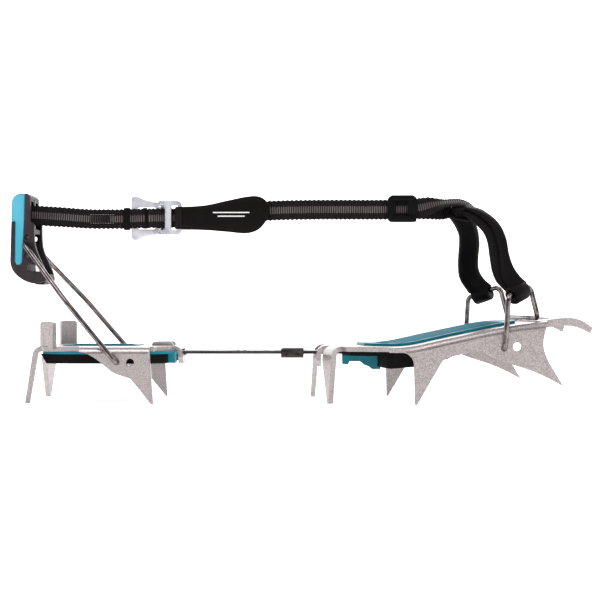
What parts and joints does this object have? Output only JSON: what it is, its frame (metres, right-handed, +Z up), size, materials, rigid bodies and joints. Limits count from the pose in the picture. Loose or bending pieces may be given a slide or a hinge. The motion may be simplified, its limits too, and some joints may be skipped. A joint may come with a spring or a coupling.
{
  "type": "crampon",
  "caption": "Semi-automatic steel crampon with front and heel frames, extension bar, wire bails, heel lever and ankle strap.",
  "frame": {"origin": "bottom centre of the bounding box, with the downward points on z = 0", "axes": "+X to the toe, +Y to the wearer's left (away from the inner side), +Z up"},
  "size_m": [0.3586, 0.0906, 0.1292],
  "materials": {
    "steel": "sand-blasted satin",
    "wire": "polished",
    "teal_plastic": "gloss",
    "soft_black": "matt",
    "lever_plastic": "satin",
    "aluminium": "polished",
    "webbing": "woven",
    "pad_fabric": "smooth",
    "band": "smooth matt",
    "black_plastic": "satin"
  },
  "bodies": {
    "front_frame": {"front_plate": "steel", "front_antiball_frame": "teal_plastic", "front_antiball_pad": "soft_black", "latch_pin": "wire"},
    "size_latch": {"size_latch": "teal_plastic", "latch_tooth": "wire", "latch_spring": "wire"},
    "bar": {"extension_bar": "steel", "bar_clip": "steel"},
    "heel_frame": {"heel_plate": "steel", "heel_antiball_frame": "teal_plastic", "heel_antiball_pad": "soft_black"},
    "heel_bail": {"heel_bail": "wire"},
    "heel_lever": {"lever_body": "lever_plastic", "lever_cover": "teal_plastic", "strap_pin": "wire"},
    "heel_strap": {"rear_strap_loop": "webbing", "rear_webbing": "webbing", "strap_keeper": "webbing"},
    "front_bail": {"front_bail": "wire"},
    "front_strap": {"near_band": "band", "far_band": "band", "strap_end_loop": "webbing", "front_webbing": "webbing", "strap_pad": "pad_fabric", "buckle_frame": "aluminium"},
    "buckle_wing": {"buckle_wing": "aluminium"},
    "strap_slider": {"strap_slider": "black_plastic"}
  },
  "joints": [
    {"name": "length_slide", "type": "slide", "parent": "front_frame", "child": "bar", "axis": [1, 0, 0], "range_m": [-0.03, 0.006]},
    {"name": "latch_press", "type": "hinge", "parent": "front_frame", "child": "size_latch", "pos_m": [0.04786, 0, 0.0254], "axis": [0, 1, 0], "range_deg": [-8, 0], "stiffness_Nm_per_rad": 0.4, "deforming": ["latch_spring"]},
    {"name": "bar_flex", "type": "hinge", "parent": "bar", "child": "heel_frame", "pos_m": [-0.08474, 0, 0.031], "axis": [0, 1, 0], "range_deg": [-2, 2]},
    {"name": "heel_bail_swing", "type": "hinge", "parent": "heel_frame", "child": "heel_bail", "pos_m": [-0.10884, 0, 0.0252], "axis": [0, 1, 0], "range_deg": [-50, 15]},
    {"name": "lever_throw", "type": "hinge", "parent": "heel_bail", "child": "heel_lever", "pos_m": [-0.16994, 0, 0.097], "axis": [0, 1, 0], "range_deg": [-100, 8]},
    {"name": "heel_strap_swing", "type": "hinge", "parent": "heel_lever", "child": "heel_strap", "pos_m": [-0.16764, 0, 0.1145], "axis": [0, 0, 1], "range_deg": [-12, 12], "deforming": ["rear_webbing", "strap_keeper"]},
    {"name": "front_bail_swing", "type": "hinge", "parent": "front_frame", "child": "front_bail", "pos_m": [0.11696, 0, 0.0336], "axis": [-0.158, 0.9874, 0], "range_deg": [-12, 0]},
    {"name": "front_strap_lift", "type": "hinge", "parent": "front_bail", "child": "front_strap", "pos_m": [0.12741, 0, 0.0684], "axis": [-0.158, 0.9874, 0], "range_deg": [0, 95], "deforming": ["near_band", "far_band"]},
    {"name": "wing_tilt", "type": "hinge", "parent": "front_strap", "child": "buckle_wing", "pos_m": [-0.08614, 0.0026, 0.1145], "axis": [0, 0, 1], "range_deg": [-70, 0]},
    {"name": "slider_travel", "type": "slide", "parent": "front_strap", "child": "strap_slider", "axis": [1, 0, 0], "range_m": [-0.055, 0.01]}
  ]
}
